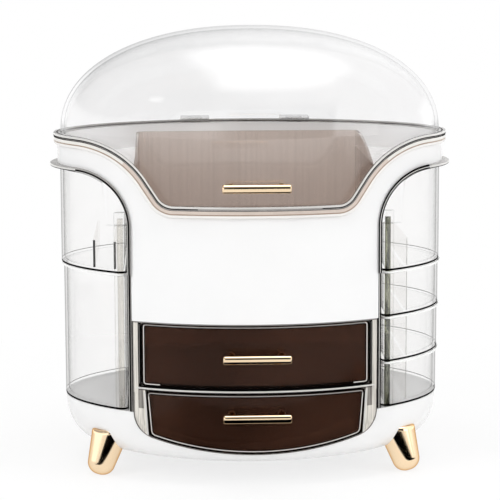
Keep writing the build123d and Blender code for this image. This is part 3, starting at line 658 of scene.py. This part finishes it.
def addTray(name, side, body, tier, low, high, arched, values=trayShape):
    halfWidth = values["halfWidth"] + tier * values["widen"]
    wall, floor, lip = values["wall"], values["floor"], values["lip"]
    # each row: inset from the outer face, height above the base or below the rim, and the strip's material in
    # front and behind; in front the base shows as a black band, behind as one thin grey line, both painted
    # dark reflections, and the lip in front carries a white painted highlight
    rows = [(0.9, 0.0, None, 1, 0), (0.25, 0.25, None, 1, 0), (0.0, 0.7, None, 1, 0), (0.0, 1.2, None, 1, 2),
            (0.0, 1.75, None, 0, 0), (0.0, 2.35, None, 0, 0)]
    if arched:
        rows += [(0.0, None, 0.9, 2, 0), (0.0, None, 0.4, 0, 0), (0.4, None, 0.0, 0, 0),
                 (wall - 0.4, None, 0.0, 2, 0), (wall, None, 0.4, 0, 0)]
    else:
        under = values["lipHeight"]
        rows += [(0.0, None, under + 0.05, 2, 0), (-lip, None, under - 0.1, 3, 0), (-lip, None, 0.9, 3, 0),
                 (-lip, None, 0.4, 3, 0), (-lip + 0.4, None, 0.0, 0, 0), (wall - 0.4, None, 0.0, 0, 0),
                 (wall, None, 0.4, 0, 0)]
    rows += [(wall, 4.2, None, 0, 0), (wall + 0.4, 3.0, None, 0, 0), (wall + 1.0, floor + 0.1, None, 4, 4),
             (wall + 1.6, floor, None, 4, 4)]
    base = trayLoop(halfWidth, 0.0, values)
    start = np.clip((base[:, 0] - 107.0) / 5.0, 0, 1)
    start = start * start * (3 - 2 * start)
    points, kinds = [], []
    for inset, above, below, front, behind in rows:
        plan = trayLoop(halfWidth, max(inset, 0.0), values)
        if inset < 0:
            plan = base + (trayLoop(halfWidth - inset, 0.0, values) - base) * start[:, None]
        z = np.full(len(plan), low + above) if below is None else trayTop(plan, high, arched, values) - below
        points.append(np.concatenate([plan * [side, 1], z[:, None]], 1))
        # the cut round the pin stays clear
        clear = nearPin(plan, values["relief"] + 2, values) & arched & (below is not None)
        kinds.append(np.where(clear, 0, np.where(base[:, 1] < 0, front, behind)))
    addSurface(name + "Cup", np.stack(points), body, [name],
               [trayClear, edgeBlack, edgeGrey, edgeWhite, trayFloor], np.stack(kinds[:-1]),
               closedColumns=True, capStart=4, capEnd=4)


def turnedRows(profile, side, values, count=28):
    # circles round a tray's pin, from pairs of radius and height
    angle = np.linspace(0, 2 * math.pi, count, endpoint=False)
    x, y = side * np.cos(angle), np.sin(angle)
    return np.stack([np.stack([side * values["pinX"] + r * x, values["pinY"] + r * y, np.full(count, z)], -1)
                     for r, z in profile])


def addPost(name, side, body, low, high, values=trayShape):
    # the hollow post of a tray round its pin
    bore, radius = values["boreRadius"], values["postRadius"]
    profile = [(bore, low + 0.02), (radius - 0.55, low + 0.02), (radius, low + 0.5), (radius, high - 0.5),
               (radius - 0.55, high), (bore, high)]
    addSurface(name + "Post", turnedRows(profile, side, values), body, (), [postClear],
               closedRows=True, closedColumns=True)


def addWeb(side, word, values=trayShape):
    # the fixed piece of wall over the pin: part of the top tray's plan, from its cut up to the arch
    halfWidth = values["halfWidth"] + 3 * values["widen"]
    outer, inner = trayLoop(halfWidth, 0.0, values), trayLoop(halfWidth, values["wall"], values)
    reach = values["webReach"]
    near = nearPin(outer, reach, values) & nearPin(inner, reach, values)
    keep = np.flatnonzero(near & (outer[:, 0] > values["webFromX"]))
    outer, inner = outer[keep], inner[keep]
    low = values["archZ"] + values["gap"]
    radius = values["archRadius"] + values["webOver"]
    top = values["archZ"] + np.sqrt(radius ** 2 - (values["archX"] - outer[:, 0]) ** 2)
    height = np.linspace(0, 1, 6)[:, None]
    climb = low + (top[None] - low) * height
    front = np.concatenate([np.repeat(outer[None], 6, 0), climb[..., None]], 2)
    back = np.concatenate([np.repeat(inner[None], 6, 0), climb[..., None]], 2)
    points = np.concatenate([front, back[::-1]]) * [side, 1, 1]
    addSurface(word + "Web", points, "housing", (), [trayClear], closedRows=True,
               capColumns=0)
    radius, top = values["postRadius"], low + values["bossHeight"]
    profile = [(values["boreRadius"] - 0.1, low), (radius - 0.25, low), (radius, low + 0.3),
               (radius, top - 0.5), (radius - 0.55, top), (0.0, top)]
    addSurface(word + "WebBoss", turnedRows(profile, side, values), "housing", (),
               [trayClear], closedColumns=True, capStart=0)


# upright rounded strips on the front ends of the dividers, a pale painted highlight on the right and a black
# painted dark reflection on the left; the top tiers' dividers are lower
edgeShape = {"deep": 0.9, "round": 0.2, "height": 29.9, "topHeight": 20.9, "paleWidth": 0.5,
             "blackWidth": 1.7, "rightX": 118.0, "rightY": -63.2, "tierStep": 0.5,
             "left": {"Outer": (122.5, -59.2), "Inner": (106.5, -69.4)}}


def addDividerEdge(name, side, body, x, y, tier, width, material, values=edgeShape):
    low = trayShape["base"] + tier * trayShape["pitch"] + trayShape["floor"]
    high = low + (values["topHeight"] if tier == trayShape["tiers"] - 1 else values["height"])
    outline = roundedBox(x - width / 2, x + width / 2, y, y + values["deep"], values["round"], 3)
    rows = [np.concatenate([outline * [side, 1], np.full((len(outline), 1), z)], 1) for z in (low, high)]
    addSolid(name, rows, body, material)


def addTrays(values, edges):
    # four low trays on the right; a tall one under a low one on the left; each top one ends under the arch
    last = values["tiers"] - 1
    bases = [values["base"] + tier * values["pitch"] for tier in range(values["tiers"])]
    for tier, low in enumerate(bases):
        number = values["tiers"] - tier
        name, body = "right_tray_%d" % number, "right_unit_%d" % number
        high = low + values["pitch"] - values["gap"]
        addTray(name, 1, body, tier, low, high, tier == last)
        addPost(name, 1, body, low, values["archZ"] if tier == last else high)
        addDividerEdge("rightDividerEdge%d" % number, 1, body, edges["rightX"],
                       edges["rightY"] - edges["tierStep"] * tier, tier, edges["paleWidth"], edgePale)
    high = bases[last] - values["gap"]
    addTray("left_lower_tray", -1, "left_lower_unit", 0, values["base"], high, False)
    addPost("left_lower_tray", -1, "left_lower_unit", values["base"], high)
    addTray("left_upper_tray", -1, "left_upper_unit", last, bases[last], values["archZ"], True)
    addPost("left_upper_tray", -1, "left_upper_unit", bases[last], values["archZ"])
    for word, (x, y) in edges["left"].items():
        addDividerEdge("leftDivider%sEdge" % word, -1, "left_upper_unit", x, y, last, edges["blackWidth"],
                       edgeBlack)


addTrays(trayShape, edgeShape)
addWeb(-1, "left")
addWeb(1, "right")
print("trays done")

# drawer bay: the bowed front's own surface, and bead lines round its openings
bayShape = {"halfWidth": 149.1, "halfDepth": 108.0, "spring": 60.0, "drop": 42.8, "tuckX": 37.0,
            "tuckY": 14.0, "power": 2.58, "outline": 93.4, "top": 126.2, "bowZ": 316.8, "bowRadius": 292.0,
            "corner": 20.0, "upper": (86.0, 77.2, 124.6), "lower": (82.9, 79.0, 72.0), "openFoot": 10.0}


def ovalAt(z, values):
    # half the width and depth of an oval body at a height; below its spring it tucks in by a superellipse
    fall = np.clip((values["spring"] - z) / values["drop"], 0, 1)
    tuck = 1 - np.cos(np.arcsin(fall ** (values["power"] / 2))) ** (2 / values["power"])
    return values["halfWidth"] - values["tuckX"] * tuck, values["halfDepth"] - values["tuckY"] * tuck


def bowedFront(plan, out, values=bayShape):
    # puts points given in X and Z on the bowed front, moved outward by out
    x, z = plan.T
    a, b = ovalAt(z, values)
    return np.stack([x, -(b + out) * np.sqrt(1 - (x / (a + out)) ** 2), z], -1)


def roundCorners(points, radii, count=7):
    # a polygon with its corners rounded by arcs that touch both sides
    points = np.asarray(points, float)
    before, after = np.roll(points, 1, 0) - points, np.roll(points, -1, 0) - points
    before /= np.linalg.norm(before, axis=1)[:, None]
    after /= np.linalg.norm(after, axis=1)[:, None]
    half = np.arccos(np.clip((before * after).sum(1), -1, 1)) / 2
    reach = np.asarray(radii) / np.tan(half)
    mid = before + after
    mid /= np.linalg.norm(mid, axis=1)[:, None]
    centre = points + mid * (np.asarray(radii) / np.sin(half))[:, None]
    first, last = points + before * reach[:, None], points + after * reach[:, None]
    start = np.arctan2(*(first - centre).T[::-1])
    turn = (np.arctan2(*(last - centre).T[::-1]) - start + np.pi) % (2 * np.pi) - np.pi
    angle = start[:, None] + turn[:, None] * np.linspace(0, 1, count)
    rounds = np.asarray(radii)[:, None, None] * np.stack([np.cos(angle), np.sin(angle)], -1)
    return (centre[:, None] + rounds).reshape(-1, 2)


def denser(loop, step=1.6):
    # a closed loop walked again in equal steps
    ahead = np.roll(loop, -1, 0)
    gaps = np.linalg.norm(ahead - loop, axis=1)
    along = np.concatenate([[0], np.cumsum(gaps)])
    count = int(along[-1] / step)
    place = np.linspace(0, along[-1], count, endpoint=False)
    closed = np.concatenate([loop, loop[:1]])
    return np.stack([np.interp(place, along, closed[:, 0]), np.interp(place, along, closed[:, 1])], -1)


def grow(loop, amount):
    # a closed loop moved outward square to itself
    along = np.roll(loop, -1, 0) - np.roll(loop, 1, 0)
    along /= np.linalg.norm(along, axis=1)[:, None]
    normal = np.stack([along[:, 1], -along[:, 0]], -1)
    area = (loop[:, 0] * np.roll(loop[:, 1], -1) - loop[:, 1] * np.roll(loop[:, 0], -1)).sum()
    return loop + normal * amount * (1 if area > 0 else -1)


def bow(halfWidth, radius, centreZ, count=40):
    x = np.linspace(-halfWidth, halfWidth, count)
    return np.stack([x, centreZ - np.sqrt(radius ** 2 - x ** 2)], -1)


def upperOpening(values=bayShape):
    half, low, top = values["upper"]
    return denser(roundCorners([(-half, low), (half, low), (half, top), (-half, top)], [2.5] * 4))


def bowedLoop(half, lowRadius, radius, top, high, topRadius, step, values=bayShape):
    # upright or leaning sides, a level top and a bowed foot; the lower corners touch the side and the bow
    low = values["bowZ"] - math.sqrt(radius ** 2 - half ** 2)
    inner = half - step
    join = values["bowZ"] - math.sqrt(radius ** 2 - inner ** 2)
    points = [(-half, low), (-inner, join), (inner, join), (half, low), (top, high), (-top, high)]
    corners = roundCorners(points, [lowRadius, 0.01, 0.01, lowRadius, topRadius, topRadius], 12)
    return denser(np.concatenate([corners[:12], bow(inner, radius, values["bowZ"]), corners[36:]]))


def lowerOpening(values=bayShape):
    top, foot, high = values["lower"]
    return bowedLoop(foot + 1.2, 4.5, values["bowRadius"] - 2, top, high, 2.5, 12)


def bayLoop(values=bayShape):
    half = values["outline"]
    return bowedLoop(half, values["corner"], values["bowRadius"], half, values["top"], 0.6, 24)


def beadLine(name, loop, start, end, out, body, materials, kinds=0, thick=0.7):
    # a thin rounded strip that follows a loop on the bowed front, between two distances outside the loop;
    # kinds gives the material of each step along the loop
    outline = roundedBox(start, end, out - thick, out, min(0.3, (end - start) * 0.4, thick * 0.45), 3)
    rows = np.stack([bowedFront(grow(loop, e), d) for e, d in outline])
    kinds = np.broadcast_to(np.asarray(kinds), (len(outline), len(loop)))
    addSurface(name, rows, body, (), materials, kinds, closedRows=True, closedColumns=True)


def frontLine(name, start, end, width, out, material, thick=0.7, count=60):
    # a thin strip on the bowed front, straight between two points in X and Z
    start, end = np.array(start, float), np.array(end, float)
    path = start + (end - start) * np.linspace(0, 1, count)[:, None]
    along = (end - start) / np.linalg.norm(end - start)
    normal = np.array([-along[1], along[0]])
    outline = roundedBox(-width / 2, width / 2, out - thick, out, min(0.3, width * 0.4, thick * 0.45), 3)
    rows = np.stack([bowedFront(path + normal * e, d) for e, d in outline])
    addSurface(name, rows, "housing", (), [material], closedRows=True, capColumns=0)


def lowerSide(z, values=bayShape):
    # half the lower opening's width at a height
    top, foot, high = values["lower"]
    return foot + (top - foot) * (z - values["openFoot"]) / (high - values["openFoot"])


def cornerPanel(side, word, outer, values=bayShape):
    # the frame beside the lower drawer: from the opening's side to the bay's outline, a thin skin on the
    # front, darker in its upper inner part as painted shade
    z = np.linspace(37.0, values["lower"][2] + 1.0, 34)
    right = outer[outer[:, 0] > 60]
    right = right[np.argsort(right[:, 1])]
    inside = lowerSide(z) + 1.3
    outside = np.interp(z, right[:, 1], right[:, 0]) - 0.95
    share = np.linspace(0, 1, 10)[:, None]
    x = side * (inside * (1 - share) + outside * share)
    plan = np.stack([x, np.broadcast_to(z, x.shape)], -1)
    skin = [np.stack([bowedFront(row, out) for row in plan]) for out in (0.08, -0.5)]
    kinds = np.zeros((20, 33), int)
    kinds[2:6, 20:] = 1
    addSurface(word + "BayCorner", np.concatenate([skin[0], skin[1][::-1]]), "housing", (),
               [framePale, frameMid], kinds, closedRows=True, capColumns=0)


upperLoop, lowerLoop, outerLoop = upperOpening(), lowerOpening(), bayLoop()
beadLine("bayOuterLine", outerLoop, -0.75, -0.05, 0.1, "housing", [edgeGrey])
beadLine("bayUpperLine", upperLoop, 0.1, 1.1, 0.12, "housing", [edgeBlack])
beadLine("bayLowerLine", lowerLoop, 0.1, 1.0, 0.12, "housing", [edgeBlack])
# level strips: half length, height, width, how far they stand out, material
# painted light: the top band is a painted shadow under the panel's edge, the black rail a painted dark line
# and the pale rail band a painted highlight
levelLines = {"bayTopBand": (93.0, 125.5, 1.0, 0.14, edgeMid),
              "bayRailBlack": (88.5, 75.8, 0.9, 0.13, edgeBlack),
              "bayRailBand": (91.5, 74.4, 1.4, 0.14, edgePale)}
# strips at the sides: X and Z of both ends, width, how far they stand out, material; the last one follows
# the lower opening
# the lower rim's pale strip is a painted highlight, and the black line and grey streak are painted dark
# reflections
sideLines = {"BayPaleLine": (91.25, 71.0, 91.25, 124.9, 3.7, 0.11, framePale),
             "BayBlackLine": (88.2, 76.0, 88.2, 124.9, 2.2, 0.12, edgeBlack),
             "BayGreyStreak": (88.5, 78.0, 88.5, 124.0, 0.35, 0.16, edgeMid),
             "BayLowerRim": (lowerSide(38.0) + 1.9, 38.0, lowerSide(72.0) + 1.9, 71.6, 1.6, 0.13, edgePale)}
for name, (half, z, width, out, material) in levelLines.items():
    frontLine(name, (-half, z), (half, z), width, out, material)
for side, word in ((-1, "left"), (1, "right")):
    for name, (lowX, lowZ, highX, highZ, width, out, material) in sideLines.items():
        frontLine(word + name, (side * lowX, lowZ), (side * highX, highZ), width, out, material)
    cornerPanel(side, word, outerLoop)
# round each drawer a bevel with a painted highlight line, pale at the sides, mid grey along the top and black
# along the upper drawer's foot as painted shade, and a black line at the gap at the drawer's edge
for word, loop in (("upper", upperLoop), ("lower", lowerLoop)):
    body = word + "_drawer_unit"
    high = loop[:, 1] > loop[:, 1].max() - 3
    sides = (np.abs(loop[:, 0]) > 74) if word == "upper" else ~high
    kinds = np.where(sides, 0, np.where(high, 2, 1))
    kinds = np.where((word == "upper") & high & (np.abs(loop[:, 0]) < 84), 2, kinds)
    beadLine(word + "DrawerBevel", loop, -1.35, -0.45, 0.08, body, [edgePale, edgeBlack, edgeMid], kinds)
    beadLine(word + "DrawerEdge", loop, -2.0, -1.4, 0.05, body, [edgeBlack])
print("bay done")

# handles: a rounded bar on two legs
handleShape = {"half": 25.6, "height": 6.6, "deep": 5.0, "back": 119.0, "legX": 19.0, "legRadius": 2.4,
               "round": 2.7, "endRound": 1.4}


def addHandle(node, body, z, skin, values=handleShape):
    # the bar's section is a superellipse, drawn in at both ends; each leg is a plain round rod
    angle = np.radians(np.linspace(0, 360, 48, endpoint=False))
    power = 2 / values["round"]
    deep = np.sign(np.cos(angle)) * np.abs(np.cos(angle)) ** power * values["deep"] / 2
    up = np.sign(np.sin(angle)) * np.abs(np.sin(angle)) ** power * values["height"] / 2
    ends = np.radians(np.linspace(0, 90, 7))
    x = values["half"] - values["endRound"] * (1 - np.sin(ends))
    size = 1 - values["endRound"] / values["height"] * 1.6 * (1 - np.cos(ends))
    x = np.concatenate([-x[::-1], x])
    size = np.concatenate([size[::-1], size])
    centre = -values["back"] - values["deep"] / 2
    rows = [np.stack([np.full(48, px), centre + deep * s, z + up * s], -1) for px, s in zip(x, size)]
    addSolid(node + "Bar", rows, body, paleGold, [node])
    turn = np.linspace(0, 2 * math.pi, 24, endpoint=False)
    radius = values["legRadius"]
    for side, word in ((-1, "Left"), (1, "Right")):
        x, height = side * values["legX"] + radius * np.cos(turn), z + radius * np.sin(turn)
        rows = [np.stack([x, np.full(24, y), height], -1) for y in (-values["back"] - 0.5, skin + 0.2)]
        addSolid(node + word + "Leg", rows, body, paleGold)


addHandle("lid_handle", "lid", 230.1, -106.5)
addHandle("upper_drawer_handle", "upper_drawer_unit", 101.8, -107.1)
addHandle("lower_drawer_handle", "lower_drawer_unit", 56.8, -107.1)
print("handles done")

# feet: leaning cones with a rounded end cut flat by the floor, and cut to the pan's curved underside
footShape = {"x": 121.9, "y": 57.7, "radius": 9.5, "topRadius": 17.5, "length": 56.0, "lean": 19.1,
             "away": 30.5, "round": 7.9, "cut": 0.8, "top": 37.0, "topRound": 2.6, "sink": 0.4, "count": 96}
panShape = {"halfWidth": 148.3, "halfDepth": 107.2, "spring": 60.0, "drop": 42.0, "tuckX": 37.0,
            "tuckY": 14.0, "power": 2.58}


def insidePan(x, y, z, values=panShape):
    a, b = ovalAt(z, values)
    return ((x / a) ** 2 + (y / b) ** 2 < 1) & (z > values["spring"] - values["drop"])


def addFoot(node, name, sideX, sideY, values=footShape):
    # circles up a leaning axis; below the rounding's height their radius follows a quarter circle
    lean, away = math.radians(values["lean"]), math.radians(values["away"])
    reach, rounding = values["radius"], values["round"]
    outward = np.array([math.cos(away), math.sin(away), 0.0])
    axis = np.array([0, 0, math.cos(lean)]) - outward * math.sin(lean)
    aside = outward * math.cos(lean) + np.array([0, 0, math.sin(lean)])
    across = np.cross(axis, aside)
    dip = rounding * (1 - math.cos(lean)) + (reach - rounding) * math.sin(lean)
    base = np.array([values["x"], values["y"], dip - values["cut"]])
    count = values["count"]
    turn = np.linspace(0, 2 * math.pi, count, endpoint=False)[:, None]
    spoke = np.cos(turn) * aside + np.sin(turn) * across

    def coneRadius(along):
        return reach + (values["topRadius"] - reach) * along / values["length"]

    def ring(along):
        along = along[:, None]
        tucked = np.sqrt(np.maximum(rounding ** 2 - np.maximum(rounding - along, 0) ** 2, 0))
        return base + axis * along + spoke * (coneRadius(along) - rounding + tucked)

    # halving finds how far up each line meets the pan
    low, high = np.full(count, rounding), np.full(count, values["length"])
    for step in range(30):
        middle = (low + high) / 2
        inside = insidePan(*ring(middle).T)
        low, high = np.where(inside, low, middle), np.where(inside, middle, high)
    high = high + values["sink"]
    rows = [ring(np.full(count, rounding * (1 - math.cos(t)))) for t in np.radians(np.linspace(0, 90, 14))]
    # a line that would stand out of the pan above the top height turns in over a small shoulder instead; its
    # place along the axis depends on the cone's radius there, so two rounds find it
    shoulder = np.full(count, 30.0)
    for step in range(2):
        rise = values["top"] - values["topRound"] - base[2] - spoke[:, 2] * coneRadius(shoulder)
        shoulder = rise / math.cos(lean)
    end = np.minimum(high, shoulder)
    rows += [ring(rounding + (end - rounding) * share) for share in np.linspace(0, 1, 16)[1:]]
    inward = np.where(high > shoulder, values["topRound"], 0.0)[:, None]
    for step in np.radians(np.linspace(0, 90, 7))[1:]:
        rows.append(ring(end) + axis * inward * math.sin(step) - spoke * inward * (1 - math.cos(step)))
    points = np.stack(rows)
    points[..., 2] = np.maximum(points[..., 2], 0.0)
    addSolid(name, points * [sideX, sideY, 1], "housing", paleGold, [node])


for sideX, wordX in ((-1, "left"), (1, "right")):
    for sideY, wordY in ((-1, "front"), (1, "rear")):
        addFoot(f"{wordY}_{wordX}_foot", wordY + wordX.capitalize() + "Foot", sideX, sideY)
print("feet done")
